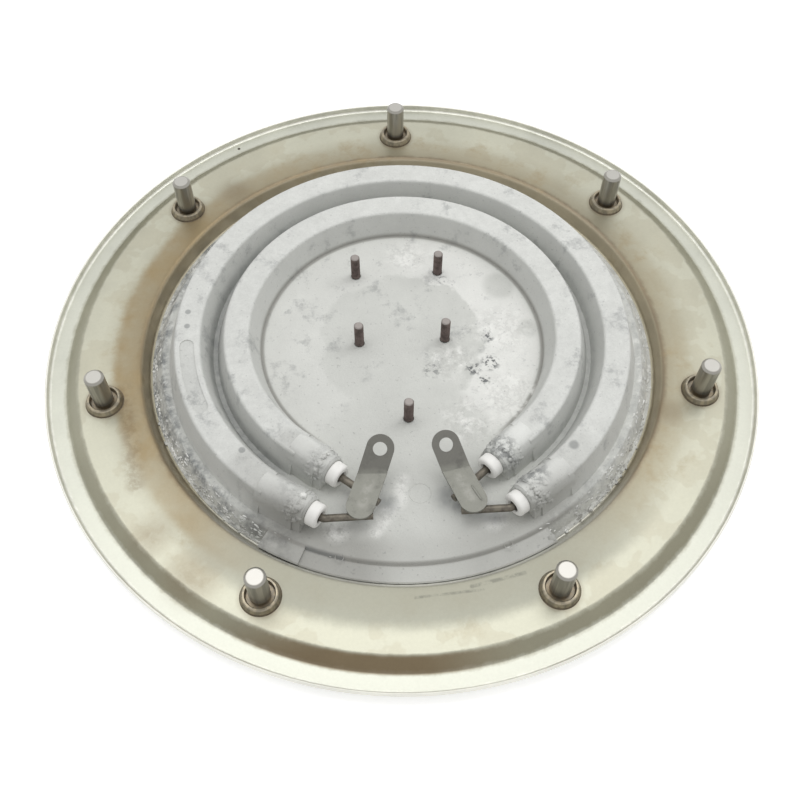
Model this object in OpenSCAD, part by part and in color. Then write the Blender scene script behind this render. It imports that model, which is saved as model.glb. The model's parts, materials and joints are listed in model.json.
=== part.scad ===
// Heating element for a water urn: a pressed stainless base plate with a cast
// aluminium heating plate on its dry side. Two tubular elements follow rings in
// the casting and end at four ceramic beads. Millimetres, disc axis along Z,
// water side down, terminals toward -Y.

/* [Base plate] */
// Outside diameter of the base plate
disc_d = 300; // [290:1:320]
// Thickness of the stainless sheet
sheet_t = 1; // [0.8:0.1:1.2]
// Diameter of the well's floor, up to the foot of its wall
well_d = 215.2; // [214.6:0.2:217]
// Height of the shelf's upper face above the well's underside
shelf_h = 7; // [6:0.5:9]
// Diameter of the shelf's inner edge
shelf_in_d = 220; // [219:0.5:224]
// Diameter of the shelf's outer edge
shelf_out_d = 272.4; // [270:0.2:276]
// Diameter of the foot of the step outside the shelf
rim_foot_d = 283.4; // [281:0.2:285]
// Height of the rim's upper face above the well's underside
rim_h = 3.5; // [2.5:0.5:5]
// Height of the upturned lip's edge above the well's underside
lip_h = 6.4; // [5.5:0.1:9]
// Inside radius of the bends
bend_r = 1.2; // [0.8:0.1:1.4]

/* [Flange studs] */
// Number of studs round the shelf
flange_stud_count = 7; // [3:1:12]
// Diameter of their circle
flange_stud_pcd = 251.2; // [246:0.2:256]
// Angle of the first stud, from +Y
flange_stud_phase = -2.3; // [-20:0.1:20]
// Shank diameter
flange_stud_d = 8; // [6:0.5:10]
// Height above the shelf
flange_stud_h = 18.4; // [12:0.1:40]
// Diameter of the weld collar at the foot
collar_d = 15.1; // [13:0.1:18]
// Height of the weld collar
collar_h = 2.8; // [2:0.1:4]
// Width of the gap between the shank and the collar's rim
collar_gap = 1.5; // [0.8:0.1:2]

/* [Cast plate] */
// Diameter of the casting's thin foot
plate_d = 213.2; // [211:0.2:214]
// Diameter of the casting's upper edge
plateau_d = 202.8; // [201:0.2:206]
// Thickness of the casting's floor
plate_t = 6; // [5:0.5:8]
// Height of the ridges above the floor
ridge_h = 11.1; // [10.8:0.1:14]
// Width of the ridges at the top
ridge_top_w = 10.4; // [9.6:0.1:12]
// Width of the ridges at the foot
ridge_foot_w = 18.4; // [16:0.1:19]
// Edge radius along the ridges
ridge_edge_r = 1.4; // [0.5:0.1:2]
// Angle from -Y at which the ridges' flat tops end
flat_end = 38; // [37:0.5:42]
// Metal round the tube in the round end bosses
boss_wall = 2.7; // [2:0.1:3.5]
// Metal round the tube at the nose of a boss
nose_wall = 2; // [1.2:0.1:2.4]
// Length of the nose
nose_l = 3.4; // [2:0.1:6]
// Draft angle of the boss walls
draft = 12; // [5:1:14]
// Reach of the near lobe from the axis
lobe_r = 109.2; // [108:0.1:109.3]
// Height of the lobe's lower shelf above the base plate
lobe_h = 4.7; // [2:0.1:4.8]
// Angle from -Y to the lobe's left end
lobe_left = 33.7; // [20:0.1:45]
// Angle from -Y to the lobe's right end
lobe_right = 28.8; // [20:0.1:45]
// Angle along the lobe's left part, which is level with the floor
lobe_level = 9; // [3:0.5:15]
// Depth of the plain oval field in the outer ridge
field_depth = 0.4; // [0.2:0.1:1]
// Width of the plain oval field
field_w = 6; // [4:0.5:8]
// Angle along the plain oval field
field_span = 20; // [10:1:40]
// Angle of the field's middle, from +X
field_at = 193; // [180:1:220]

/* [Tubular elements] */
// Centre-line radius of the outer element
outer_loop_r = 89.35; // [88.9:0.05:90]
// Centre-line radius of the inner element
inner_loop_r = 69.1; // [66:0.1:69.5]
// Angle from -Y at which the outer element leaves its arc
outer_end = 34; // [32:0.1:36]
// Angle from -Y at which the inner element leaves its arc
inner_end = 40.4; // [38:0.1:43]
// Straight sheath length past the outer arc
outer_run = 12; // [10:0.1:14]
// Straight sheath length past the inner arc
inner_run = 17.6; // [15:0.1:19]
// Height of the tubes' centre line above the casting's floor
tube_rise = 5.5; // [5:0.1:5.6]
// Sheath outside diameter
sheath_d = 8.5; // [8:0.1:8.8]
// Sheath wall
sheath_t = 0.6; // [0.4:0.05:0.8]
// Reduction in radius of the sheath along its straight ends
end_draw = 0.15; // [0.1:0.05:0.3]
// Diameter of the resistance wire
wire_d = 0.7; // [0.4:0.05:0.8]
// Radius by which the coil opens where it laps onto a pin
coil_open = 0.15; // [0.1:0.05:0.3]
// Length of coil that laps onto each cold pin
coil_lap = 3; // [2:0.1:3.5]
// Cold pin diameter
pin_d = 3; // [2.5:0.1:3.2]
// Length of each end seal
seal_l = 2; // [1:0.1:2.4]

/* [Ceramic beads] */
// Diameter of a bead's head
bead_d = 9.8; // [9:0.1:11]
// Length of a bead's head
bead_l = 4.6; // [3:0.1:6]
// Length of its spigot in the sheath
spigot_l = 2.5; // [1.5:0.1:3]
// Gap between the spigot and the sheath, and between the bead and the pin
bead_gap = 0.15; // [0.05:0.05:0.3]
// Edge radius of the head
bead_r = 1.2; // [0.5:0.1:1.6]

/* [Terminals] */
// Thickness of the terminal strips
tab_t = 1; // [0.8:0.1:1.5]
// Width of the strips
tab_w = 10.8; // [9:0.1:12]
// Centre-line radius of the outer pins' bend
pin_bend_r = 3; // [3:0.5:6]
// Straight outer pin between its bend and the strip's centre line
outer_reach = 12; // [10:0.1:14]
// Inner pin between its bead and the strip's centre line
inner_reach = 11.7; // [10:0.1:14]
// Pin length past the strip's edge
pin_past = 0.5; // [0:0.1:2]
// Strip past the outer pin's centre line
foot_past = 1.9; // [1.6:0.1:4]
// Flat length of a strip, from its foot to the fold
tab_flat = 19.2; // [17:0.1:22]
// Inside radius of the fold
fold_r = 0.8; // [0.4:0.1:2]
// Length of the raised part
tab_up = 16.4; // [14.6:0.1:18]
// Rise of the left strip's raised part
left_rise = 40; // [20:1:90]
// Rise of the right strip's raised part
right_rise = 32; // [20:1:90]
// Turn of the left strip's fold line from square
left_skew = 18; // [0:1:25]
// Turn of the right strip's fold line from square
right_skew = 10; // [0:1:25]
// Hole diameter
tab_hole_d = 5.5; // [4:0.1:6.5]
// Distance from the fold to the hole
tab_hole_at = 10.7; // [9:0.1:12]

/* [Control studs] */
// Shank diameter of the small studs
stud_d = 4; // [3:0.5:5]
// Height above the casting's floor
stud_h = 12.7; // [10:0.1:25]
// Diameter of the studs' roots in the casting
stud_root_d = 4.4; // [4.2:0.1:6]
// Depth of the roots in the casting
stud_in = 4; // [3:0.1:4.5]
// Spacing of the four studs along X
stud_dx = 36.5; // [30:0.1:60]
// Spacing of the four studs along Y
stud_dy = 37.05; // [30:0.1:50]
// Distance of their centre from the axis, along Y
stud_y = 18.7; // [10:0.1:25]
// Distance of the single stud from the axis, toward -Y
single_stud_y = 38.6; // [35:0.1:50]

/* [Hidden] */
$fn = 96;

floor_z = sheet_t + plate_t;
tube_z = floor_z + tube_rise;
tab_z = tube_z + pin_d / 2;
sheath_in = sheath_d / 2 - end_draw - sheath_t;
core_r = pin_d / 2 - coil_open;
boss_r = sheath_d / 2 + boss_wall;
nose_r = sheath_d / 2 + nose_wall;

// How far a straight end laps into its arc, and the step left in the pins
lap = 1.5;
fine = 0.03;
shoulder_l = 0.8;

function unit(v) = v / norm(v);

// An arc of radius r in place of the corner at b
function corner(a, b, c, r, n) =
    let (u = unit(a - b), v = unit(c - b), half = acos(u * v) / 2)
    let (o = b + unit(u + v) * r / sin(half), k = r / tan(half), turn = 180 - 2 * half)
    let (s = b + u * k - o, e = b + v * k - o)
    [for (j = [0:n]) o + (s * sin(turn * (1 - j / n)) + e * sin(turn * j / n)) / sin(turn)];

// The path p with its inner corners rounded to the radii in r
function rounded(p, r, n = 6) = [
    for (i = [0:len(p) - 1])
        each (i == 0 || i == len(p) - 1 || r[i] == 0) ? [p[i]] : corner(p[i - 1], p[i], p[i + 1], r[i], n)
];

// The path p moved to its right-hand side by t
function beside(p, t) = [
    for (i = [0:len(p) - 1])
        let (b0 = i < len(p) - 1 ? unit(p[i + 1] - p[i]) : unit(p[i] - p[i - 1]))
        let (a0 = i > 0 ? unit(p[i] - p[i - 1]) : b0)
        let (m = unit(a0 + b0))
        p[i] + [m[1], -m[0]] * t / (m * a0)
];

function reversed(p) = [for (i = [len(p) - 1:-1:0]) p[i]];

// Section of the base plate's upper face, from the axis out to the lip
disc_path = rounded(
    [[0, sheet_t], [well_d / 2, sheet_t], [shelf_in_d / 2, shelf_h], [shelf_out_d / 2, shelf_h],
     [rim_foot_d / 2, rim_h], [disc_d / 2 - sheet_t, rim_h], [disc_d / 2 - sheet_t, lip_h - sheet_t / 2]],
    [0, bend_r, bend_r + sheet_t, bend_r + sheet_t, bend_r, bend_r, 0]);

module base_disc() color([0.74, 0.72, 0.66])
    rotate_extrude($fn = 180)
        polygon(concat(
            disc_path,
            [for (a = [150:-30:30]) [disc_d / 2 - sheet_t / 2, lip_h - sheet_t / 2] + sheet_t / 2 * [cos(a), sin(a)]],
            reversed(beside(disc_path, sheet_t))));

module flange_studs() color([0.7, 0.69, 0.66])
    for (i = [0:flange_stud_count - 1])
        rotate([0, 0, 90 + flange_stud_phase + 360 / flange_stud_count * i])
            translate([flange_stud_pcd / 2, 0, shelf_h])
                flange_stud();

// Shank, cupped weld collar and chamfered top in one turned piece
module flange_stud() {
    r = flange_stud_d / 2;
    cr = collar_d / 2;
    rotate_extrude($fn = 48)
        polygon([
            [0, 0], [cr, 0], [cr, 0.5], [cr - 0.7, collar_h - 0.4], [cr - 1.1, collar_h],
            [r + collar_gap + 0.3, collar_h], [r + collar_gap, collar_h - 0.4], [r + collar_gap - 0.2, 0.9],
            [r, 0.9], [r, flange_stud_h - 0.8], [r - 0.8, flange_stud_h], [0, flange_stud_h]]);
}

// Frame of a straight tube end: +Z along it toward the bead, +X up, +Y toward the axis
module at_end(loop_r, end, side)
    mirror([side < 0 ? 1 : 0, 0, 0])
        translate([loop_r * sin(end), -loop_r * cos(end), tube_z])
            rotate([0, 0, end])
                rotate([0, -90, 0])
                    children();

// A round rod that follows an element: its arc of radius r and both straight ends of radius r_end
module run_rod(loop_r, end, run, r, r_end) {
    arc_sweep(end, end) translate([loop_r, tube_z]) circle(r, $fn = 48);
    for (side = [-1, 1])
        at_end(loop_r, end, side)
            translate([0, 0, -lap]) cylinder(r = r_end, h = run + lap, $fn = 48);
}

// A section swept round the far side, up to the angles from -Y given for left and right
module arc_sweep(left, right)
    rotate([0, 0, -90 + right])
        rotate_extrude(angle = 360 - left - right, $fn = 180)
            children();

// Section of a ridge about the tube's centre line, carried 1 below the floor
module ridge_section() {
    low = ridge_foot_w / 2 + (ridge_foot_w - ridge_top_w) / 2 / ridge_h;
    polygon(rounded(
        [[-low, -tube_rise - 1], [-ridge_top_w / 2, ridge_h - tube_rise], [ridge_top_w / 2, ridge_h - tube_rise], [low, -tube_rise - 1]],
        [0, ridge_edge_r, ridge_edge_r, 0], 3));
}

// Section of a boss, a round top on drafted walls, carried 1 below the floor
module boss_section(r) {
    low = r * cos(draft) + (r * sin(draft) + tube_rise + 1) * tan(draft);
    circle(r, $fn = 64);
    polygon([[-low, -tube_rise - 1], [low, -tube_rise - 1], [r - 0.25, r * sin(draft)], [0.25 - r, r * sin(draft)]]);
}

// A straight piece of a section, from z0 to z1 along a tube end
module along(z0, z1)
    translate([0, 0, z0]) linear_extrude(z1 - z0) rotate(-90) children();

// Round shoulder on the end of a boss of radius r at z
module shoulder(r, z)
    translate([0, 0, z])
        rotate_extrude($fn = 64)
            polygon([[0, -1], [r - 0.3, -1], [r - 0.3, 0], [r - 0.5, 0.45], [r - 1, shoulder_l], [0, shoulder_l]]);

// A ridge over an element, with a straight boss at each end that starts behind the end of its flat top
module ridge(loop_r, end, run) {
    arc_sweep(flat_end, flat_end) translate([loop_r, tube_z]) ridge_section();
    for (side = [-1, 1])
        at_end(loop_r, end, side) boss_end(run, loop_r * tan(end - flat_end) - 3);
}

module boss_end(run, from) {
    along(from, run - nose_l - shoulder_l) boss_section(boss_r);
    shoulder(boss_r, run - nose_l - shoulder_l);
    along(run - nose_l - 3, run - shoulder_l) boss_section(nose_r);
    shoulder(nose_r, run - shoulder_l);
}

module lobe() {
    r0 = plateau_d / 2 - 1;
    foot = plate_d / 2 - 0.6;
    low = [[r0, sheet_t + 0.3], [foot, sheet_t + 0.3], [foot + 1.2, sheet_t + 0.9], [lobe_r - 0.2, sheet_t + lobe_h - 0.5]];
    rotate([0, 0, -90 - lobe_left])
        rotate_extrude(angle = lobe_left + lobe_right, $fn = 180)
            polygon(concat(low, [[lobe_r - 0.7, sheet_t + lobe_h], [r0, sheet_t + lobe_h]]));
    rotate([0, 0, -90 - lobe_left])
        rotate_extrude(angle = lobe_level, $fn = 180)
            polygon(concat(low, [[lobe_r, floor_z - 0.5], [lobe_r - 0.5, floor_z - fine], [r0, floor_z - fine]]));
}

// Plain oval field sunk in the top of the outer ridge
module field() {
    z = floor_z + ridge_h - field_depth;
    rotate([0, 0, field_at - field_span / 2])
        rotate_extrude(angle = field_span, $fn = 180)
            translate([outer_loop_r - field_w / 2, z]) square([field_w, 2 * field_depth]);
    for (a = [-1, 1])
        rotate([0, 0, field_at + a * field_span / 2])
            translate([outer_loop_r, 0, z]) cylinder(d = field_w - 2 * fine, h = 2 * field_depth, $fn = 48);
}

module stud_places() {
    for (x = [-1, 1], y = [-1, 1])
        translate([x * stud_dx / 2, stud_y + y * stud_dy / 2, floor_z]) children();
    translate([0, -single_stud_y, floor_z]) children();
}

module heating_plate() color([0.76, 0.77, 0.77])
    difference() {
        union() {
            rotate_extrude($fn = 180)
                polygon(rounded(
                    [[0, sheet_t], [plate_d / 2, sheet_t], [plate_d / 2, sheet_t + 0.5], [plate_d / 2 - 1.6, sheet_t + 1],
                     [plateau_d / 2, floor_z], [0, floor_z]],
                    [0, 0, 0, 0.8, 1, 0], 4));
            ridge(outer_loop_r, outer_end, outer_run);
            ridge(inner_loop_r, inner_end, inner_run);
            lobe();
        }
        run_rod(outer_loop_r, outer_end, outer_run + 3, sheath_d / 2, sheath_d / 2 - end_draw);
        run_rod(inner_loop_r, inner_end, inner_run + 3, sheath_d / 2, sheath_d / 2 - end_draw);
        stud_places() translate([0, 0, -stud_in]) cylinder(d = stud_root_d, h = stud_in + 1, $fn = 48);
        field();
    }

module control_studs() color([0.42, 0.39, 0.35])
    stud_places()
        rotate_extrude($fn = 48)
            polygon([[0, -stud_in], [stud_root_d / 2, -stud_in], [stud_root_d / 2, 0], [stud_d / 2, 0],
                [stud_d / 2, stud_h - 0.5], [stud_d / 2 - 0.5, stud_h], [0, stud_h]]);

// Positions along a straight end, from the end of the arc
function seal_z(run) = run - spigot_l - seal_l;

module sheath(loop_r, end, run) color([0.6, 0.6, 0.58])
    difference() {
        run_rod(loop_r, end, run, sheath_d / 2, sheath_d / 2 - end_draw);
        run_rod(loop_r, end, run + 1, sheath_d / 2 - sheath_t, sheath_in);
    }

module coil(loop_r, end) color([0.55, 0.5, 0.42])
    difference() {
        run_rod(loop_r, end, coil_lap, core_r + wire_d, pin_d / 2 + wire_d);
        run_rod(loop_r, end, coil_lap + 1, core_r, pin_d / 2);
    }

// Packed powder round the coil, and its core
module fill(loop_r, end, run) color([0.92, 0.92, 0.9]) {
    difference() {
        run_rod(loop_r, end, seal_z(run), sheath_d / 2 - sheath_t, sheath_in);
        run_rod(loop_r, end, coil_lap, core_r + wire_d, pin_d / 2 + wire_d);
        for (side = [-1, 1])
            at_end(loop_r, end, side) cylinder(d = pin_d, h = run, $fn = 48);
    }
    arc_sweep(end, end) translate([loop_r, tube_z]) circle(r = core_r, $fn = 48);
}

module seal(loop_r, end, run, side) color([0.7, 0.35, 0.3])
    at_end(loop_r, end, side)
        translate([0, 0, seal_z(run)])
            difference() {
                cylinder(r = sheath_in, h = seal_l, $fn = 48);
                translate([0, 0, -1]) cylinder(d = pin_d, h = seal_l + 2, $fn = 48);
            }

module bead(loop_r, end, run, side) color([0.96, 0.96, 0.95])
    at_end(loop_r, end, side)
        translate([0, 0, run])
            difference() {
                union() {
                    rotate_extrude($fn = 64)
                        polygon(rounded(
                            [[0, 0], [bead_d / 2, 0], [bead_d / 2, bead_l], [0, bead_l]], [0, 0.5, bead_r, 0], 5));
                    translate([0, 0, -spigot_l]) cylinder(r = sheath_in - bead_gap, h = spigot_l + 0.5, $fn = 48);
                }
                translate([0, 0, -spigot_l - 1]) cylinder(r = pin_d / 2 + bead_gap, h = spigot_l + bead_l + 2, $fn = 48);
                translate([0, 0, bead_l - 1]) cylinder(r1 = pin_d / 2 + bead_gap, r2 = pin_d / 2 + 1.2, h = 1.01, $fn = 48);
            }

// Where the pins cross the strips, in plan, for the right-hand side
function end_point(loop_r, end, t) = [loop_r * sin(end), -loop_r * cos(end)] - t * [cos(end), sin(end)];
pin_z0 = outer_run + bead_l;
outer_bend_end = end_point(outer_loop_r, outer_end, pin_z0)
    + pin_bend_r * [-sin(outer_end), cos(outer_end) - 1];
cross_outer = outer_bend_end - [outer_reach, 0];
cross_inner = end_point(inner_loop_r, inner_end, inner_run + bead_l + inner_reach);
tab_dir = unit(cross_inner - cross_outer);
tab_turn = atan2(-tab_dir[0], tab_dir[1]);

module outer_pin(side) color([0.5, 0.49, 0.46])
    at_end(outer_loop_r, outer_end, side) {
        cylinder(d = pin_d - 2 * fine, h = pin_z0 + 0.3, $fn = 48);
        translate([0, pin_bend_r, pin_z0])
            rotate([90, 0, -90])
                rotate_extrude(angle = outer_end, $fn = 96) translate([pin_bend_r, 0]) circle(d = pin_d, $fn = 48);
        translate([0, pin_bend_r * (1 - cos(outer_end)), pin_z0 + pin_bend_r * sin(outer_end)])
            rotate([-outer_end, 0, 0])
                translate([0, 0, -0.3])
                    cylinder(d = pin_d - 2 * fine, h = 0.3 + outer_reach + tab_w / 2 + pin_past, $fn = 48);
    }

module inner_pin(side) color([0.5, 0.49, 0.46])
    at_end(inner_loop_r, inner_end, side)
        cylinder(d = pin_d, h = inner_run + bead_l + inner_reach + tab_w / 2 / cos(inner_end - tab_turn) + pin_past, $fn = 48);

// Flat outline of a strip, with the fold at y = 0
module strip_outline() {
    translate([0, -tab_flat + tab_w / 2]) circle(d = tab_w, $fn = 64);
    translate([-tab_w / 2, -tab_flat + tab_w / 2]) square([tab_w, tab_flat + tab_up - tab_w]);
    translate([0, tab_up - tab_w / 2]) circle(d = tab_w, $fn = 64);
}

// A strip folded along a line that is turned by skew from square, cut to its outline on both sides of the fold.
// The raised side's cut starts cut_past beyond the fold, and the flat side's cut runs on over it
module terminal(rise, skew) color([0.6, 0.6, 0.58]) {
    wide = 2 * (tab_flat + tab_w);
    cut_past = 0.1;
    r_in = fold_r;
    r_out = fold_r + tab_t;
    fold_l = (fold_r + tab_t / 2) * rise * PI / 180;
    over = r_out * sin(rise);
    side_view = concat(
        [[-tab_flat - tab_w, 0]],
        [for (j = [0:8]) [0, r_out] + r_out * [sin(rise * j / 8), -cos(rise * j / 8)]],
        [[0, r_out] + r_out * [sin(rise), -cos(rise)] + (tab_up + tab_w) * [cos(rise), sin(rise)]],
        [[0, r_out] + r_in * [sin(rise), -cos(rise)] + (tab_up + tab_w) * [cos(rise), sin(rise)]],
        [for (j = [8:-1:0]) [0, r_out] + r_in * [sin(rise * j / 8), -cos(rise * j / 8)]],
        [[-tab_flat - tab_w, tab_t]]);
    translate([cross_outer[0], cross_outer[1], tab_z])
        rotate([0, 0, tab_turn])
            translate([0, tab_flat - foot_past, 0])
                rotate([0, 0, -skew])
                    difference() {
                        rotate([90, 0, 90]) linear_extrude(wide, center = true) polygon(side_view);
                        translate([0, 0, -1])
                            linear_extrude(tab_t + 2)
                                difference() {
                                    translate([-wide, -wide]) square([2 * wide, wide + over + 2 * cut_past]);
                                    rotate(skew) strip_outline();
                                }
                        translate([0, 0, r_out])
                            rotate([rise, 0, 0])
                                translate([0, 0, -r_out - 1])
                                    linear_extrude(tab_t + 2)
                                        difference() {
                                            translate([-wide, cut_past]) square([2 * wide, wide]);
                                            translate([0, -fold_l])
                                                rotate(skew)
                                                    difference() {
                                                        strip_outline();
                                                        translate([0, tab_hole_at]) circle(d = tab_hole_d, $fn = 48);
                                                    }
                                        }
                    }
}

base_disc();
flange_studs();
heating_plate();
control_studs();
sheath(outer_loop_r, outer_end, outer_run);  // outer_sheath
fill(outer_loop_r, outer_end, outer_run);  // outer_fill
coil(outer_loop_r, outer_end);  // outer_coil
sheath(inner_loop_r, inner_end, inner_run);  // inner_sheath
fill(inner_loop_r, inner_end, inner_run);  // inner_fill
coil(inner_loop_r, inner_end);  // inner_coil
outer_pin(-1);  // outer_pin_left
outer_pin(1);  // outer_pin_right
inner_pin(-1);  // inner_pin_left
inner_pin(1);  // inner_pin_right
seal(outer_loop_r, outer_end, outer_run, -1);  // outer_seal_left
seal(outer_loop_r, outer_end, outer_run, 1);  // outer_seal_right
seal(inner_loop_r, inner_end, inner_run, -1);  // inner_seal_left
seal(inner_loop_r, inner_end, inner_run, 1);  // inner_seal_right
bead(outer_loop_r, outer_end, outer_run, -1);  // outer_bead_left
bead(outer_loop_r, outer_end, outer_run, 1);  // outer_bead_right
bead(inner_loop_r, inner_end, inner_run, -1);  // inner_bead_left
bead(inner_loop_r, inner_end, inner_run, 1);  // inner_bead_right
mirror([1, 0, 0]) terminal(left_rise, left_skew);  // terminal_left
terminal(right_rise, right_skew);  // terminal_right
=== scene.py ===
import json
import math
import random

import bmesh
import bpy
from bpy.props import FloatProperty, FloatVectorProperty, IntProperty, PointerProperty
from mathutils import Matrix, Vector


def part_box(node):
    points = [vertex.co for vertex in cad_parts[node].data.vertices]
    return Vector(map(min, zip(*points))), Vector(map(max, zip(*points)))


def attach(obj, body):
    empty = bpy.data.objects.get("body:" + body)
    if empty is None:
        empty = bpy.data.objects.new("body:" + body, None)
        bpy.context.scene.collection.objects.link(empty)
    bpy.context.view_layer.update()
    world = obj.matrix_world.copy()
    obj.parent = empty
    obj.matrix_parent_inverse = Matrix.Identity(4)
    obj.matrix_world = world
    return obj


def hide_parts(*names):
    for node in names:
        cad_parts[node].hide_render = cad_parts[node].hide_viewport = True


bl_info = {
    "name": "Water urn heating element",
    "version": (1, 0, 0),
    "blender": (4, 5, 0),
    "location": "View3D > Sidebar > Urn element",
    "description": "Finishes and small pieces for the packed heating element of a water urn",
    "category": "Object",
}

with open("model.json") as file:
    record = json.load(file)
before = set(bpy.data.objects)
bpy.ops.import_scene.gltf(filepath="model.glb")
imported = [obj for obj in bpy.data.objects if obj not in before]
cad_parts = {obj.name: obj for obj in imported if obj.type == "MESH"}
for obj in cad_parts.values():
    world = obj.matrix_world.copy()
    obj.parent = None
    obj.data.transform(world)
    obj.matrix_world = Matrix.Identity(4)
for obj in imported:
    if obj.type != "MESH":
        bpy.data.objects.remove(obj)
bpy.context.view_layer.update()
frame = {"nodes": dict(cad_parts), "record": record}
MM = 0.001

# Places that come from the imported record
MOUNTS = {mount["name"]: mount for mount in frame["record"]["mounts"]}
STUD_CIRCLE = MOUNTS["flange_studs"]["dims"]["pcd_mm"] / 2
STUD_COUNT = MOUNTS["flange_studs"]["dims"]["count"]
STUD_SHANK = MOUNTS["flange_studs"]["dims"]["stud_r_mm"]
FIRST_STUD_TURN = math.radians(87.7)
SMALL_STUDS = MOUNTS["control_studs"]
SINGLE_STUD = MOUNTS["single_stud"]
SHELF_Z = MOUNTS["shelf_face"]["pos_m"][2] / MM
FLOOR_Z = 7.0
RIDGE_TOP_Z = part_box("heating_plate")[1].z / MM
STRIP_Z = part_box("terminal_left")[0].z / MM + 1.0
OUTER_RING = 89.35
INNER_RING = 69.1
GROOVE_RING = (OUTER_RING + INNER_RING) / 2
OUTER_END = math.radians(34)
INNER_END = math.radians(40.4)

# Round end of a boss, and how far behind a bead's middle it ends
NOSE_RADIUS = 6.25
BOSS_RADIUS = 6.95
NOSE_LENGTH = 3.4
BEAD_BACK = 1.05

# Turns just inside the near lobe's two ends in degrees, with the heights that they run between
LOBE_ENDS = ((236.9, 2.0, 6.0), (298.2, 2.0, 5.0))
LOBE_LUMPS = 26

# Ranges of a grain's length, width and height as shares of its size
FLAKE = ((0.8, 2.2), (0.5, 1.0), (0.2, 0.4))
LUMP = ((0.8, 1.4), (0.8, 1.2), (0.8, 1.1))


def tone(red, green, blue):
    """The linear colour of an 8-bit display colour."""
    def linear(value):
        value /= 255
        return value / 12.92 if value <= 0.04045 else ((value + 0.055) / 1.055) ** 2.4
    return linear(red), linear(green), linear(blue)


def paint(name, description, red, green, blue):
    """A colour that a user can change."""
    return FloatVectorProperty(
        name=name, description=description, subtype="COLOR", size=3, min=0, max=1,
        default=tone(red, green, blue))


def length(name, description, millimetres):
    """A length that a user can change, in metres."""
    return FloatProperty(
        name=name, description=description, unit="LENGTH", min=0, default=millimetres * MM, precision=5)


class UrnSheetLook(bpy.types.PropertyGroup):
    """Colours of the pressed base plate."""
    shelf: paint("Shelf", "Satin sheet on the flat shelf", 192, 191, 174)
    inner: paint("Inner shelf", "Sheet near the shelf's inner edge", 160, 155, 136)
    edge: paint("Shelf edge", "Bend where the wall meets the shelf", 124, 114, 97)
    # The well wall and the well are painted lighter than their own tone, painted light that lifts the shade
    # in the well
    wall: paint("Well wall", "Burnt wall between the well and the shelf", 184, 174, 152)
    well: paint("Well", "Strip of the well's floor beside the casting", 160, 155, 136)
    grey: paint("Grey shelf", "Grey patch in front of the casting", 144, 144, 132)
    recess: paint("Pinhole", "Dark pinhole in the rim", 70, 62, 50)
    step: paint("Step", "Slope between the shelf and the rim", 148, 145, 126)
    rim: paint("Rim", "Flat rim", 204, 205, 193)
    # The lip's colour is a painted highlight along the upturned edge
    lip: paint("Lip", "Upturned edge of the rim", 232, 231, 222)
    heat: paint("Heat tint", "Golden tint left by the heat", 147, 131, 100)
    burn: paint("Burn", "Darkest brown of the burnt patches", 116, 98, 72)


class UrnCastingLook(bpy.types.PropertyGroup):
    """Colours of the cast heating plate."""
    top: paint("Ridge tops", "Chalky tops of the ridges", 229, 230, 226)
    slope: paint("Slopes", "Drafted sides of the ridges", 203, 204, 200)
    floor: paint("Floor", "Flat floor of the casting", 209, 210, 205)
    grime: paint("Grime", "Blue-black dirt in the grooves", 118, 121, 122)
    scale: paint("Lime scale", "White deposit left by water", 240, 240, 236)
    foot: paint("Fillet line", "Dirt along the foot of a ridge", 132, 130, 124)


class UrnStudSizes(bpy.types.PropertyGroup):
    """Sizes and colours of the studs."""
    pitch: length("Thread pitch", "Pitch of the small studs' thread", 0.7)
    depth: length("Thread depth", "Depth of the small studs' thread", 0.38)
    chamfer: length("Chamfer", "Chamfer at the top of a small stud", 0.5)
    small: paint("Small studs", "Tarnished thread", 110, 98, 93)
    point: paint("Stud points", "Bright point of a small stud", 160, 154, 150)
    shank: paint("Shank", "Flange stud above its collar", 178, 175, 165)
    # The tip's colour is a painted highlight; the recess is burnt metal darkened as painted shade
    tip: paint("Tip", "Bright end of a flange stud", 188, 186, 180)
    collar: paint("Collar", "Bevelled edge of a collar", 168, 158, 137)
    recess: paint("Recess", "Burnt recess inside a collar", 122, 110, 92)


class UrnTerminalLook(bpy.types.PropertyGroup):
    """Colours of the strips, pins and beads, and the rib's size."""
    flat: paint("Flat part", "Strip where it is welded to the pins", 135, 135, 127)
    raised: paint("Raised part", "Upper end of a strip", 118, 117, 111)
    # The smear colour is a painted highlight on the strips' flat part
    smear_highlight: paint("Smear", "Lighter smear along the flat part", 164, 163, 156)
    pin: paint("Pins", "Oxidised cold pins", 124, 118, 107)
    bead: paint("Beads", "White ceramic", 240, 239, 235)
    bore: paint("Bead bore", "Shadowed bore of a bead", 60, 50, 42)
    rib: length("Rib width", "Width of the rib pressed into the right strip", 1.1)


class UrnTraces(bpy.types.PropertyGroup):
    """Sizes of the deposits and of the marks in the casting."""
    grain: length("Crust grain", "Largest grain of the crust", 0.95)
    count: IntProperty(
        name="Crust grains", description="Grains on the casting's edge", min=0, max=1500, default=700)
    lumps: IntProperty(
        name="Boss lumps", description="Lumps on each boss", min=0, max=300, default=90)
    mark: length("Round mark", "Diameter of the plain ring between the strips", 8.4)
    line: length("Mark line", "Thickness of the ring's line", 0.5)
    seam: length("Weld seam", "Thickness of the dark seam round a collar", 0.5)


class UrnStage(bpy.types.PropertyGroup):
    """Floor, lamps and background."""
    floor: length("Floor", "Width of the floor", 6000)
    sky: FloatProperty(
        name="Sky level", description="Strength of the even white light", min=0, default=0.66)
    key: FloatProperty(
        name="Key lamp", description="Power of the large lamp", unit="POWER", min=0, default=2.2)
    side: FloatProperty(
        name="Side lamp", description="Power of the small lamp", unit="POWER", min=0, default=0.9)
    size: length("Lamp width", "Width of the large lamp", 1000)
    lens: FloatProperty(
        name="Lens", description="Focal length in millimetres on a 36 mm sensor", min=1, default=43.6)


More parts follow.
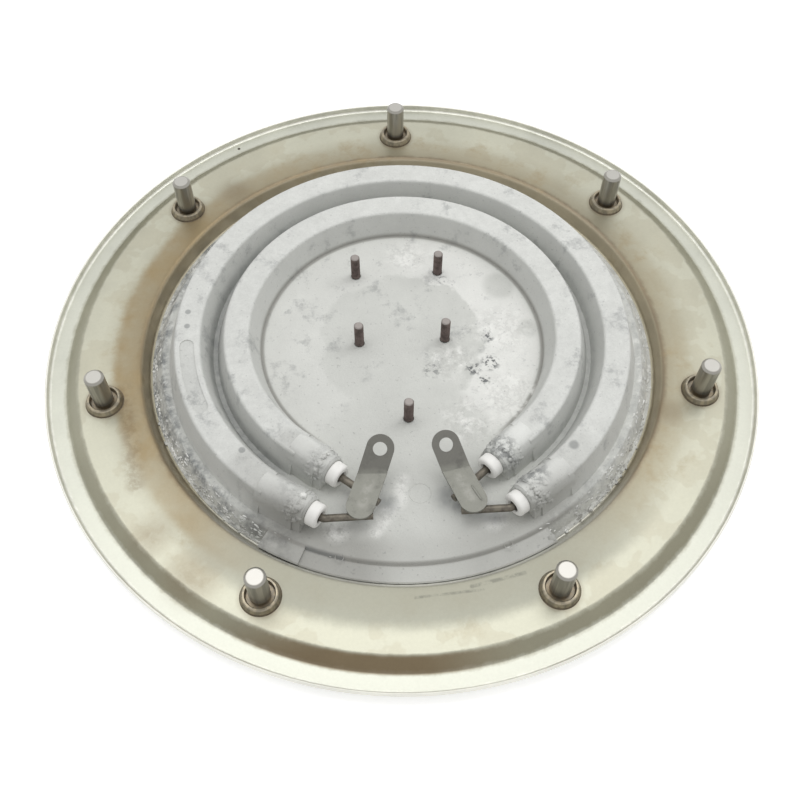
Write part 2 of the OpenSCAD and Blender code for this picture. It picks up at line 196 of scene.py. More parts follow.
class Finish:
    """A procedural finish: one principled shader and the nodes that feed it."""

    def __init__(self, name, metallic, roughness):
        self.material = bpy.data.materials.new(name)
        self.material.use_nodes = True
        self.nodes = self.material.node_tree.nodes
        self.links = self.material.node_tree.links
        self.nodes.clear()
        self.shader = self.nodes.new("ShaderNodeBsdfPrincipled")
        self.shader.inputs["Metallic"].default_value = metallic
        self.shader.inputs["Roughness"].default_value = roughness
        output = self.nodes.new("ShaderNodeOutputMaterial")
        self.links.new(self.shader.outputs["BSDF"], output.inputs["Surface"])
        millimetres = self.nodes.new("ShaderNodeVectorMath")
        millimetres.operation = "SCALE"
        millimetres.inputs["Scale"].default_value = 1 / MM
        place = self.nodes.new("ShaderNodeTexCoord")
        self.links.new(place.outputs["Object"], millimetres.inputs[0])
        self.place = millimetres.outputs[0]
        split = self.nodes.new("ShaderNodeSeparateXYZ")
        self.links.new(self.place, split.inputs[0])
        self.x, self.y, self.z = split.outputs
        self._radius = None

    def feed(self, socket, value):
        if isinstance(value, bpy.types.NodeSocket):
            self.links.new(value, socket)
        elif socket.type == "RGBA":
            socket.default_value = (*value[:3], 1)
        else:
            socket.default_value = value

    def calc(self, operation, *values):
        node = self.nodes.new("ShaderNodeMath")
        node.operation = operation
        for socket, value in zip(node.inputs, values):
            self.feed(socket, value)
        return node.outputs[0]

    def vector(self, operation, output, *values):
        node = self.nodes.new("ShaderNodeVectorMath")
        node.operation = operation
        for socket, value in zip(node.inputs, values):
            self.feed(socket, value)
        return node.outputs[output]

    def radius(self):
        """Distance from the disc's axis, in millimetres."""
        if self._radius is None:
            flat = self.vector("MULTIPLY", 0, self.place, (1, 1, 0))
            self._radius = self.vector("LENGTH", "Value", flat)
        return self._radius

    def rise(self, value, low, high):
        """0 below low, 1 above high, and smooth between."""
        node = self.nodes.new("ShaderNodeMapRange")
        node.interpolation_type = "SMOOTHSTEP"
        self.feed(node.inputs["Value"], value)
        node.inputs["From Min"].default_value = low
        node.inputs["From Max"].default_value = high
        return node.outputs["Result"]

    def fall(self, value, low, high):
        """1 below low, 0 above high, and smooth between."""
        return self.calc("SUBTRACT", 1, self.rise(value, low, high))

    def band(self, value, middle, inner, outer):
        """1 within inner of the middle, 0 past outer."""
        away = self.calc("ABSOLUTE", self.calc("SUBTRACT", value, middle))
        return self.fall(away, inner, outer)

    def both(self, *masks):
        """The product of the masks."""
        result = masks[0]
        for mask in masks[1:]:
            result = self.calc("MULTIPLY", result, mask)
        return result

    def either(self, *masks):
        """The largest of the masks."""
        result = masks[0]
        for mask in masks[1:]:
            result = self.calc("MAXIMUM", result, mask)
        return result

    def noise(self, feature, detail=4, rough=0.55, stretch=(1, 1, 1)):
        """Cloudy noise whose features are about so many millimetres wide."""
        node = self.nodes.new("ShaderNodeTexNoise")
        node.inputs["Scale"].default_value = 1 / feature
        node.inputs["Detail"].default_value = detail
        node.inputs["Roughness"].default_value = rough
        self.links.new(self.vector("MULTIPLY", 0, self.place, stretch), node.inputs["Vector"])
        return node.outputs["Fac"]

    def mix(self, factor, low, high, kind="MIX"):
        node = self.nodes.new("ShaderNodeMix")
        node.data_type = "RGBA"
        node.blend_type = kind
        node.clamp_factor = True
        self.feed(node.inputs[0], factor)
        self.feed(node.inputs[6], low)
        self.feed(node.inputs[7], high)
        return node.outputs[2]

    def grey(self, value):
        """A grey colour that follows a value."""
        node = self.nodes.new("ShaderNodeCombineColor")
        for socket in node.inputs:
            self.links.new(value, socket)
        return node.outputs[0]

    def spread(self, value, low, high):
        """A value from 0 to 1 stretched over low to high."""
        return self.calc("MULTIPLY_ADD", value, high - low, low)

    def by_steps(self, value, stops):
        """A colour that runs through stops of (value, colour)."""
        low = stops[0][0]
        high = stops[-1][0]
        share = self.calc("DIVIDE", self.calc("SUBTRACT", value, low), high - low)
        node = self.nodes.new("ShaderNodeValToRGB")
        self.links.new(share, node.inputs[0])
        ramp = node.color_ramp
        for number, (at, colour) in enumerate(stops):
            place = (at - low) / (high - low)
            if number == 0:
                stop = ramp.elements[0]
            elif number == len(stops) - 1:
                stop = ramp.elements[len(ramp.elements) - 1]
            else:
                stop = ramp.elements.new(place)
            stop.position = place
            stop.color = (*colour[:3], 1)
        return node.outputs["Color"]

    def near_line(self, start, end, inner, outer):
        """1 within inner of the line from start to end, 0 past outer, in millimetres."""
        start = Vector(start)
        along = Vector(end) - start
        away = self.vector("SUBTRACT", 0, self.place, tuple(start))
        share = self.calc(
            "DIVIDE", self.vector("DOT_PRODUCT", "Value", away, tuple(along)), along.length_squared)
        share = self.calc("MINIMUM", self.calc("MAXIMUM", share, 0), 1)
        step = self.nodes.new("ShaderNodeVectorMath")
        step.operation = "SCALE"
        step.inputs[0].default_value = tuple(along)
        self.links.new(share, step.inputs["Scale"])
        distance = self.vector("LENGTH", "Value", self.vector("SUBTRACT", 0, away, step.outputs[0]))
        return self.fall(distance, inner, outer)

    def spot(self, middle, inner, outer):
        """1 within inner of a point, 0 past outer."""
        distance = self.vector("DISTANCE", "Value", self.place, tuple(middle))
        return self.fall(distance, inner, outer)

    def from_stud(self):
        """Distance in plan from the nearest flange stud's axis, in millimetres."""
        turn = self.calc("ARCTAN2", self.y, self.x)
        sector = 2 * math.pi / STUD_COUNT
        past = self.calc("SUBTRACT", turn, FIRST_STUD_TURN - sector / 2)
        share = self.calc("SUBTRACT", self.calc("FLOORED_MODULO", past, sector), sector / 2)
        radius = self.radius()
        aside = self.calc("MULTIPLY", radius, self.calc("SINE", share))
        out = self.calc("MULTIPLY", radius, self.calc("COSINE", share))
        out = self.calc("SUBTRACT", out, STUD_CIRCLE)
        return self.calc("SQRT", self.calc("ADD", self.calc("POWER", aside, 2), self.calc("POWER", out, 2)))

    def bump(self, height, depth, strength=1.0):
        node = self.nodes.new("ShaderNodeBump")
        node.inputs["Distance"].default_value = depth * MM
        node.inputs["Strength"].default_value = strength
        self.links.new(height, node.inputs["Height"])
        self.links.new(node.outputs["Normal"], self.shader.inputs["Normal"])

    def colour(self, value):
        self.links.new(value, self.shader.inputs["Base Color"])
        return self.material

    def gloss(self, value):
        self.links.new(value, self.shader.inputs["Roughness"])


def sheet_finish(look):
    """Satin stainless sheet with heat tints round the casting."""
    finish = Finish("stainless_sheet", 0.82, 0.4)
    radius = finish.radius()
    cloud = finish.noise(34, 5, 0.6)
    speck = finish.noise(5, 6, 0.7)
    fine = finish.noise(1.1, 3, 0.6)
    wavy = finish.calc("ADD", radius, finish.spread(speck, -1.6, 1.6))
    ahead = finish.calc("DIVIDE", finish.y, radius)
    middle = [(a + b) / 2 for a, b in zip(look.inner, look.shelf)]
    colour = finish.by_steps(wavy, [
        # The well's stops are painted lighter than its own tone, painted light that lifts its shade
        (100, look.well), (108.8, look.well), (110, look.edge), (110.9, look.edge), (112.6, look.inner),
        (119, middle), (128, look.shelf), (135.6, look.shelf), (137.4, look.step), (140.6, look.step),
        # The lip's stops are a painted highlight along the upturned edge
        (143, look.rim), (147.6, look.rim), (149.2, look.lip), (150, look.lip)])
    # Painted light: the wall is painted lighter than its burnt tone, to lift the shade in the well
    wall = finish.both(finish.band(radius, 109, 1.2, 1.9), finish.fall(finish.z, 6.2, 6.9))
    colour = finish.mix(wall, colour, look.wall)

    # Golden ring, strongest on the left
    left = finish.fall(finish.calc("DIVIDE", finish.x, radius), -0.95, -0.1)
    ring = finish.band(wavy, 115.5, 3.5, 8.5)
    cloudy = finish.spread(finish.rise(cloud, 0.32, 0.66), 0.4, 1.0)
    tint = finish.both(ring, finish.spread(left, 0.25, 0.95), cloudy)
    colour = finish.mix(tint, colour, look.heat)
    patches = finish.both(finish.rise(finish.noise(17, 6, 0.68), 0.52, 0.72), finish.fall(radius, 120, 140))
    colour = finish.mix(finish.both(patches, 0.5), colour, look.heat)
    firm = finish.both(finish.rise(finish.noise(14, 3, 0.5), 0.5, 0.54), finish.band(radius, 126, 9, 11))
    colour = finish.mix(finish.both(firm, 0.14), colour, look.heat)
    stains = finish.either(
        finish.spot((-84, -101, SHELF_Z), 3, 17),
        finish.spot((-100, -84, SHELF_Z), 1, 13),
        finish.both(
            finish.near_line((-116, -18, SHELF_Z), (-108, -62, SHELF_Z), 1, 6),
            finish.rise(speck, 0.36, 0.6)),
        finish.spot((106, -42, SHELF_Z), 1, 9),
        finish.spot((-73, 93, SHELF_Z), 1, 12))
    colour = finish.mix(finish.both(stains, finish.spread(speck, 0.2, 1.0), 0.62), colour, look.burn)

    # The step is painted brighter at its sides as a painted reflection, and burnt at the near side
    step = finish.band(radius, 139.3, 2.2, 3.6)
    beside = finish.both(step, finish.fall(ahead, 0.1, 0.6), finish.rise(ahead, -0.75, -0.1))
    colour = finish.mix(finish.both(beside, 0.5), colour, look.shelf)
    before = finish.both(step, finish.fall(finish.y, -134, -116), finish.fall(finish.x, -5, 40))
    colour = finish.mix(finish.both(before, 0.8), colour, look.burn)
    halo = finish.both(finish.fall(finish.from_stud(), 7.7, 9.8), finish.rise(radius, 110, 112))
    colour = finish.mix(finish.both(halo, finish.spread(speck, 0.2, 0.9), 0.42), colour, look.burn)

    # Grey patch in front of the casting, a painted reflection, and streaks there; the near side of the gap
    # at the casting's foot is painted pale, painted light over its shade
    near = finish.fall(ahead, -0.95, -0.55)
    # Painted reflection: a grey patch on the shelf in front of the casting
    colour = finish.mix(finish.both(finish.band(wavy, 116, 7, 14), near, 0.85), colour, look.grey)
    # Painted light: the near side of the gap at the casting's foot is painted pale with the lip's colour,
    # over its shade
    colour = finish.mix(finish.both(finish.fall(radius, 110, 111), near, 0.9), colour, look.lip)
    streaks = finish.either(
        finish.near_line((18, -112, SHELF_Z), (38, -108, SHELF_Z), 0.3, 1.1),
        finish.near_line((-3, -115, SHELF_Z), (22, -113.5, SHELF_Z), 0.2, 0.8))
    streaks = finish.both(streaks, finish.rise(speck, 0.38, 0.6), 0.7)
    colour = finish.mix(streaks, colour, darker(look.grey, 0.55))
    colour = finish.mix(finish.spot((-72.8, 125.4, 3.5), 0.5, 0.9), colour, look.recess)
    shade = finish.both(finish.spread(cloud, 0.78, 1.16), finish.spread(fine, 0.94, 1.05))
    colour = finish.mix(1.0, colour, finish.grey(shade), "MULTIPLY")
    finish.gloss(finish.spread(cloud, 0.3, 0.52))
    finish.bump(finish.calc("ADD", cloud, finish.both(fine, 0.25)), 0.25, 0.35)
    return finish.colour(colour)


def casting_finish(look):
    """Chalky cast aluminium with dirt in the grooves and white deposits."""
    finish = Finish("cast_aluminium", 0.12, 0.74)
    radius = finish.radius()
    cloud = finish.noise(16, 6, 0.62)
    speck = finish.noise(3.2, 6, 0.7)
    fine = finish.noise(0.8, 4, 0.65)
    high = finish.calc("ADD", finish.z, finish.spread(speck, -0.7, 0.7))
    tops = finish.rise(high, RIDGE_TOP_Z - 2.2, RIDGE_TOP_Z - 0.4)
    low = finish.fall(finish.z, FLOOR_Z + 0.3, FLOOR_Z + 2.6)
    facing = finish.calc("DIVIDE", finish.calc("MULTIPLY", finish.y, -1), radius)
    behind = finish.fall(facing, 0.7, 0.86)
    front = finish.calc("SUBTRACT", 1, behind)
    aside = finish.calc("DIVIDE", finish.x, radius)
    left = finish.fall(aside, -0.7, 0.35)
    colour = finish.mix(low, look.slope, look.floor)
    colour = finish.mix(tops, colour, look.top)

    # Whiter deposit outside a grey middle, strongest on the right
    uneven = finish.calc("ADD", radius, finish.spread(finish.noise(13, 5, 0.6), -8, 8))
    patches = finish.either(
        finish.spot((44.8, 27.9, FLOOR_Z), 5, 9), finish.spot((54.2, 3.6, FLOOR_Z), 3, 6))
    annulus = finish.both(finish.rise(uneven, 34, 36.5), finish.fall(radius, 57, 59.5), low, behind)
    annulus = finish.both(annulus, finish.calc("SUBTRACT", 1, finish.both(patches, 0.9)))
    strength = finish.spread(finish.rise(aside, -0.3, 0.6), 0.22, 0.62)
    colour = finish.mix(finish.both(annulus, strength), colour, look.scale)

    # Dirt in the groove, at the foot of the inner ridge and round the edge, and painted shade on the sides
    # of the front lobe
    in_groove = finish.fall(finish.z, FLOOR_Z + 0.6, FLOOR_Z + 6)
    groove = finish.both(finish.band(radius, GROOVE_RING, 1.2, 5.5), in_groove, behind)
    groove = finish.both(groove, finish.spread(left, 0.55, 1.0), finish.spread(speck, 0.0, 0.9))
    colour = finish.mix(groove, colour, look.grime)
    foot = finish.both(finish.band(radius, INNER_RING - 9.4, 0.3, 1.5), low, behind)
    colour = finish.mix(finish.both(foot, 0.7), colour, look.foot)
    edge = finish.both(finish.rise(radius, 96.5, 101), finish.fall(finish.z, FLOOR_Z, FLOOR_Z + 5))
    crusted = finish.both(edge, finish.fall(facing, 0.84, 0.93))
    dirt = finish.both(crusted, finish.rise(finish.noise(6, 6, 0.65), 0.4, 0.66))
    colour = finish.mix(finish.both(dirt, finish.spread(left, 0.35, 1.0), 0.85), colour, look.grime)
    lime = finish.both(crusted, finish.rise(finish.noise(4, 5, 0.6), 0.54, 0.7))
    colour = finish.mix(finish.both(lime, 0.6), colour, look.scale)
    smudge = finish.both(finish.rise(finish.noise(11, 6, 0.7), 0.54, 0.7), behind, 0.4)
    colour = finish.mix(smudge, colour, look.grime)
    lobe_line = finish.both(finish.band(radius, 101.6, 0.3, 1.3), front)
    colour = finish.mix(finish.both(lobe_line, 0.55), colour, look.foot)
    # Painted shade: the front lobe is darker towards its sides, more on the left
    sides = finish.either(
        finish.fall(aside, -0.24, -0.04),
        finish.both(finish.rise(aside, 0.04, 0.26), 0.45))
    lobe = finish.both(finish.rise(radius, 86, 97), front, finish.spread(sides, 0.22, 0.6))
    colour = finish.mix(lobe, colour, look.foot)

    # Flakes of lime, with darker rims
    white = finish.either(
        finish.near_line((-4.6, -66.6, FLOOR_Z), (-16.6, -88, FLOOR_Z), 0.6, 3.2),
        finish.spot((-31.3, -86.2, FLOOR_Z), 1, 6),
        finish.spot((30.7, -82.6, FLOOR_Z), 1, 6.5),
        finish.spot((19.5, -10.9, FLOOR_Z), 4, 15),
        finish.spot((42.4, 3.4, FLOOR_Z), 5, 19),
        finish.spot((24.8, -40.9, FLOOR_Z), 4, 16),
        finish.spot((42, -30, FLOOR_Z), 5, 18),
        finish.spot((5, 48, FLOOR_Z), 3, 14))
    flakes = finish.both(white, finish.rise(finish.noise(5, 6, 0.66), 0.42, 0.66), low)
    splash = finish.either(
        finish.near_line((-4.6, -66.6, FLOOR_Z), (-6, -76, FLOOR_Z), 0.6, 4.5),
        finish.near_line((-6, -76, FLOOR_Z), (-16, -88, FLOOR_Z), 0.6, 4),
        finish.spot((-30.5, -86.5, FLOOR_Z), 1, 7),
        finish.spot((29, -85.5, FLOOR_Z), 1, 7))
    splash = finish.both(splash, finish.rise(speck, 0.34, 0.56), 0.7)
    colour = finish.mix(finish.either(finish.both(flakes, 0.85), splash), colour, look.scale)
    rims = finish.both(white, finish.band(finish.noise(7, 5, 0.6), 0.5, 0.01, 0.06), low)
    colour = finish.mix(finish.both(rims, 0.14), colour, look.foot)

    # Round marks, dents and scratches
    dark = finish.either(
        finish.spot((17.1, -72.7, FLOOR_Z), 0.6, 1.6),
        finish.near_line((-40, -104, 5.7), (-34, -106, 5.7), 0.2, 0.8),
        finish.near_line((-42, -92.6, 6), (-29, -97.4, 6), 0.4, 1.6),
        finish.spot((62.2, -61.4, 18.1), 1.2, 2.6),
        finish.spot((-89.6, 12.9, 18.1), 0.9, 1.5),
        finish.spot((-89.6, 5.4, 18.1), 0.9, 1.5),
        finish.spot((-65.5, -55.6, 18.1), 1.0, 1.6))
    colour = finish.mix(finish.both(dark, 0.55), colour, look.grime)

    # Painted shadow on the floor under the strips, and dirt on the bosses
    strip_shadow = finish.either(
        finish.spot((12.5, -75.5, FLOOR_Z), 1, 8),
        finish.spot((-11, -77, FLOOR_Z), 1, 7),
        finish.near_line((16, -78, FLOOR_Z), (30, -84, FLOOR_Z), 1, 6))
    colour = finish.mix(finish.both(strip_shadow, finish.spread(speck, 0.1, 0.8), low), colour, look.grime)
    sooty = finish.either(
        finish.spot((34.5, -61, 14), 4, 10),
        finish.spot((45.5, -73, 14), 4, 10),
        finish.both(finish.spot((-36, -61, 14), 3, 9), 0.5),
        finish.both(finish.spot((-48, -74, 14), 3, 9), 0.5),
        finish.both(finish.near_line((-60, -83, 6), (-50, -91, 6), 1, 8), 0.25))
    dull = finish.either(
        finish.near_line((-62, -64, 18), (-47, -78, 18), 5, 13),
        finish.near_line((-47, -54, 18), (-36, -64, 18), 3, 9),
        finish.both(finish.near_line((62, -64, 18), (47, -78, 18), 5, 13), 0.6))
    colour = finish.mix(finish.both(dull, 0.24), colour, look.foot)
    sooty = finish.both(sooty, finish.rise(speck, 0.42, 0.6))
    colour = finish.mix(finish.both(sooty, 0.75), colour, darker(look.grime, 0.75))
    colour = finish.mix(finish.spot((-42.3, -76.8, 18.6), 0.6, 1.5), colour, look.scale)

    # Pits in a cluster right of the studs, and a few elsewhere
    blots = finish.either(
        finish.spot((28.9, -16, FLOOR_Z), 1.5, 4.5),
        finish.spot((36.2, -13.5, FLOOR_Z), 2, 5),
        finish.spot((32.7, -21.6, FLOOR_Z), 1, 3.5),
        finish.spot((36.7, -0.1, FLOOR_Z), 1, 3.5),
        finish.spot((20.2, 32.5, FLOOR_Z), 1, 3),
        finish.both(finish.spot((11.5, -15.7, FLOOR_Z), 2, 5), 0.6))
    blots = finish.both(blots, finish.rise(finish.noise(2.4, 3, 0.6), 0.5, 0.58))
    pits = finish.both(finish.rise(finish.noise(1.3, 2, 0.5), 0.67, 0.73), 0.25)
    pits = finish.either(pits, blots)
    colour = finish.mix(finish.both(pits, 0.9), colour, darker(look.grime, 0.7))
    shade = finish.both(finish.spread(cloud, 0.88, 1.09), finish.spread(fine, 0.93, 1.06))
    colour = finish.mix(1.0, colour, finish.grey(shade), "MULTIPLY")
    rough = finish.both(speck, finish.spread(finish.either(crusted, sooty), 0.4, 1.4))
    rough = finish.calc("ADD", finish.both(fine, 0.35), rough)
    finish.bump(finish.calc("SUBTRACT", rough, pits), 0.5, 0.55)
    return finish.colour(colour)


def crust_finish(look):
    """Rough grains of lime and dirt."""
    finish = Finish("crust", 0.0, 0.9)
    speck = finish.noise(9, 4, 0.6)
    colour = finish.by_steps(speck, [
        (0.3, look.foot), (0.5, look.slope), (0.66, look.scale), (0.7, look.scale)])
    finish.bump(finish.noise(0.4, 4, 0.7), 0.2, 0.8)
    return finish.colour(colour)


def flange_stud_finish(look):
    """Turned stud: a burnt recess darkened with painted shade, a worn bevel, a satin shank with painted
    reflection bands, and a tip with a painted highlight and painted shade on its chamfer.
    """
    finish = Finish("flange_stud_steel", 0.85, 0.36)
    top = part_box("flange_studs")[1].z / MM
    speck = finish.noise(2.2, 5, 0.65)
    level = finish.calc("ADD", finish.z, finish.spread(speck, -0.25, 0.25))
    # Darker towards the foot and brighter towards the tip: painted shade in the recess and a painted
    # highlight at the tip
    colour = finish.by_steps(level, [
        (SHELF_Z, look.recess), (SHELF_Z + 0.45, look.recess), (SHELF_Z + 0.9, look.collar),
        (SHELF_Z + 2.9, look.collar), (SHELF_Z + 3.3, look.shank), (top - 1.1, look.shank),
        (top - 0.5, look.tip), (top, look.tip)])
    foot = finish.fall(finish.z, SHELF_Z + 2.3, SHELF_Z + 2.9)
    out = finish.from_stud()
    # Painted shade: a dark ring in the cup round the shank's foot
    cup_shade = finish.both(finish.band(out, STUD_SHANK + 0.7, 0.65, 0.95), foot)
    worn = finish.both(finish.rise(speck, 0.46, 0.68), foot, 0.5)
    colour = finish.mix(finish.either(finish.both(cup_shade, 0.7), worn), colour, look.recess)
    tip = finish.rise(finish.z, top - 1, top - 0.8)
    # Painted shade on the tip's chamfer, so that the bright tip reads smaller
    bevel = finish.both(finish.rise(out, STUD_SHANK - 1.2, STUD_SHANK - 0.9), tip)
    colour = finish.mix(finish.both(bevel, 0.75), colour, darker(look.shank, 0.6))
    # Painted reflection: dark vertical bands down the shank
    reflection_bands = finish.rise(finish.noise(1.6, 3, 0.5, (1, 1, 0.05)), 0.4, 0.6)
    reflection_bands = finish.both(reflection_bands, finish.calc("SUBTRACT", 1, tip), 0.5)
    colour = finish.mix(reflection_bands, colour, darker(look.shank, 0.35))
    finish.bump(speck, 0.1, 0.4)
    return finish.colour(colour)


def small_stud_finish(look):
    """Tarnished thread, darker in patches, with a bright point."""
    finish = Finish("stud_steel", 0.7, 0.5)
    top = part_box("control_studs")[1].z / MM
    cloud = finish.noise(3, 5, 0.65)
    colour = finish.mix(finish.rise(cloud, 0.35, 0.7), look.small, darker(look.small, 0.5))
    point = finish.rise(finish.calc("ADD", finish.z, finish.spread(cloud, -0.5, 0.5)), top - 0.9, top - 0.2)
    colour = finish.mix(finish.both(point, 0.85), colour, look.point)
    finish.bump(finish.noise(0.4, 4, 0.6), 0.08, 0.4)
    return finish.colour(colour)


def metal_finish(name, base, dark, feature, metallic=0.8, roughness=0.45):
    """Plain metal, mottled between two colours."""
    finish = Finish(name, metallic, roughness)
    cloud = finish.noise(feature, 5, 0.65)
    fine = finish.noise(feature / 8, 4, 0.6)
    colour = finish.mix(finish.rise(cloud, 0.35, 0.7), base, dark)
    colour = finish.mix(1.0, colour, finish.grey(finish.spread(fine, 0.86, 1.12)), "MULTIPLY")
    finish.bump(fine, 0.08, 0.4)
    return finish.colour(colour)


def darker(colour, share):
    return [value * share for value in colour]


def strip_finish(look):
    """Dull strip: lighter where it lies flat, darker where it rises."""
    finish = Finish("terminal_steel", 0.5, 0.5)
    cloud = finish.noise(5, 5, 0.65)
    fine = finish.noise(0.7, 4, 0.6)
    raised = finish.rise(finish.calc("ADD", finish.z, finish.spread(cloud, -0.8, 0.8)), 15.2, 16.8)
    colour = finish.mix(raised, look.flat, look.raised)
    colour = finish.mix(finish.both(finish.rise(cloud, 0.5, 0.72), 0.5), colour, darker(look.raised, 0.6))
    # Painted highlight: a lighter smear along the flat part of each strip
    smear_highlight = finish.either(
        finish.near_line((-20.5, -80, STRIP_Z), (-17.2, -71, STRIP_Z), 0.6, 3),
        finish.near_line((20.5, -80, STRIP_Z), (17.2, -71, STRIP_Z), 0.6, 3))
    colour = finish.mix(finish.both(smear_highlight, finish.rise(cloud, 0.35, 0.6), 0.6), colour, look.smear_highlight)
    colour = finish.mix(1.0, colour, finish.grey(finish.spread(fine, 0.88, 1.1)), "MULTIPLY")
    finish.bump(fine, 0.08, 0.4)
    return finish.colour(colour)


def bead_finish(look, name, middle, direction):
    """White ceramic, dark in the bore round the pin."""
    finish = Finish(name, 0.0, 0.42)
    away = finish.vector("SUBTRACT", 0, finish.place, tuple(middle / MM))
    off_axis = finish.vector("LENGTH", "Value", finish.vector("CROSS_PRODUCT", 0, away, tuple(direction)))
    cloud = finish.noise(2.5, 5, 0.65)
    grubby = finish.both(finish.rise(cloud, 0.55, 0.75), 0.25)
    colour = finish.mix(grubby, look.bead, darker(look.bead, 0.72))
    colour = finish.mix(finish.fall(off_axis, 1.9, 2.5), colour, look.bore)
    finish.bump(cloud, 0.1, 0.3)
    return finish.colour(colour)


def dress(node, material):
    """Gives a CAD node its finish and leaves its mesh as it is."""
    slots = frame["nodes"][node].data.materials
    slots.clear()
    slots.append(material)


def piece(name, points, faces, material, slot, smooth=True):
    """A new mesh that rides on the part and takes the given material as its finish; the slot argument is not
    used.
    """
    mesh = bpy.data.meshes.new(name)
    mesh.from_pydata(points, [], faces)
    mesh.materials.append(material)
    mesh.polygons.foreach_set("use_smooth", [smooth] * len(mesh.polygons))
    mesh.update()
    thing = bpy.data.objects.new(name, mesh)
    bpy.context.scene.collection.objects.link(thing)
    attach(thing, "root")
    return thing


def grid_faces(rows, columns, start=0):
    """Quads over rows of points that close on themselves."""
    return [
        (start + row * columns + column, start + row * columns + (column + 1) % columns,
         start + (row + 1) * columns + (column + 1) % columns, start + (row + 1) * columns + column)
        for row in range(rows - 1) for column in range(columns)]


def ring(middle, radius, line, flat=1.0, sides=64, round_sides=8):
    """Points and faces of a lying ring of round section."""
    points = []
    for row in range(sides):
        turn = 2 * math.pi * row / sides
        for column in range(round_sides):
            roll = 2 * math.pi * column / round_sides
            reach = radius + line / 2 * math.cos(roll)
            points.append((middle[0] + reach * math.cos(turn), middle[1] + reach * math.sin(turn),
                           middle[2] + flat * line / 2 * math.sin(roll)))
    faces = []
    for row in range(sides):
        after = (row + 1) % sides
        for column in range(round_sides):
            beside = (column + 1) % round_sides
            faces.append((row * round_sides + column, after * round_sides + column,
                          after * round_sides + beside, row * round_sides + beside))
    return points, faces


def joined(parts):
    """One list of points and faces from several."""
    points = []
    faces = []
    for some_points, some_faces in parts:
        start = len(points)
        points += some_points
        faces += [tuple(start + corner for corner in face) for face in some_faces]
    return points, faces


def threaded_stud(foot, height, radius, pitch, depth, chamfer):
    """Points and faces of one threaded stud that stands on foot."""
    sides = 28
    steps_per_turn = 8
    rows = round(height / pitch * steps_per_turn)
    points = []
    for row in range(rows + 1):
        level = height * row / rows
        for column in range(sides):
            share = column / sides
            groove = 1 - abs(2 * ((level / pitch - share) % 1) - 1)
            cut = depth * min(max(1.3 * groove - 0.15, 0), 1)
            reach = min(radius - cut, radius - chamfer + height - level)
            turn = 2 * math.pi * share
            points.append(
                (foot[0] + reach * math.cos(turn), foot[1] + reach * math.sin(turn), foot[2] + level))
    faces = grid_faces(rows + 1, sides)
    last = rows * sides
    faces.append(tuple(range(last, last + sides)))
    faces.append(tuple(range(sides - 1, -1, -1)))
    return points, faces


def tube_ends():
    """Node, middle and outward direction of the bead at each of the four tube ends."""
    ends = []
    for loop, end in (("outer", OUTER_END), ("inner", INNER_END)):
        for side, sign in (("left", -1), ("right", 1)):
            node = f"{loop}_bead_{side}"
            low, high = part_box(node)
            direction = Vector((-sign * math.cos(end), -math.sin(end), 0))
            ends.append((node, (low + high) / 2, direction))
    return ends


def small_stud_feet():
    """Feet of the four studs in a rectangle and of the single one."""
    x, y, _ = SMALL_STUDS["pos_m"]
    across = SMALL_STUDS["dims"]["spacing_x_mm"] * MM / 2
    along = SMALL_STUDS["dims"]["spacing_y_mm"] * MM / 2
    feet = [(x + a * across, y + b * along, FLOOR_Z * MM) for a in (-1, 1) for b in (-1, 1)]
    return feet + [(SINGLE_STUD["pos_m"][0], SINGLE_STUD["pos_m"][1], FLOOR_Z * MM)]


def edge_height(radius):
    """Height of the casting's edge at a radius, in millimetres."""
    if radius < 101.4:
        return FLOOR_Z
    if radius < 105:
        return FLOOR_Z - (radius - 101.4) * (FLOOR_Z - 2) / 3.6
    return 2 - (radius - 105) * 0.5 / 1.6


def grain(draw, middle, size, ball, heading, kind=FLAKE):
    """Points and faces of one uneven grain that lies along a heading."""
    points, faces = ball
    turn = Matrix.Rotation(heading + draw.gauss(0, 0.25), 3, "Z")
    stretch = Vector([draw.uniform(*reach) for reach in kind])
    moved = []
    for point in points:
        shaped = Vector(a * b for a, b in zip(point, stretch)) * size * draw.uniform(0.7, 1.25)
        moved.append(tuple(middle + turn @ shaped))
    return moved, faces


def ball_shape():
    """Points and faces of a small ball of radius 1."""
    mesh = bmesh.new()
    bmesh.ops.create_icosphere(mesh, subdivisions=2, radius=1)
    points = [vertex.co.copy() for vertex in mesh.verts]
    faces = [tuple(vertex.index for vertex in face.verts) for face in mesh.faces]
    mesh.free()
    return points, faces


class URN_OT_base_disc(bpy.types.Operator):
    """Give the pressed base plate its satin, heat tinted finish"""
    bl_idname = "urn.base_disc"
    bl_label = "Base plate"

    def execute(self, context):
        dress("base_disc", sheet_finish(context.scene.urn_sheet))
        return {"FINISHED"}


class URN_OT_flange_studs(bpy.types.Operator):
    """Finish the seven flange studs and add the dark seams round their collars"""
    bl_idname = "urn.flange_studs"
    bl_label = "Flange studs"

    def execute(self, context):
        look = context.scene.urn_studs
        dress("flange_studs", flange_stud_finish(look))
        seam = context.scene.urn_traces.seam
        collar = 7.6 * MM
        rings = []
        for number in range(STUD_COUNT):
            turn = FIRST_STUD_TURN + 2 * math.pi * number / STUD_COUNT
            middle = (STUD_CIRCLE * MM * math.cos(turn), STUD_CIRCLE * MM * math.sin(turn), SHELF_Z * MM)
            rings.append(ring(middle, collar, seam, 0.9))
        material = metal_finish("seam_burn", look.recess, darker(look.recess, 0.5), 2.0, 0.3, 0.7)
        piece("collar_seams", *joined(rings), material, "flange_stud_steel")
        return {"FINISHED"}


class URN_OT_heating_plate(bpy.types.Operator):
    """Give the casting its chalky, dirty finish"""
    bl_idname = "urn.heating_plate"
    bl_label = "Cast plate"

    def execute(self, context):
        dress("heating_plate", casting_finish(context.scene.urn_casting))
        return {"FINISHED"}


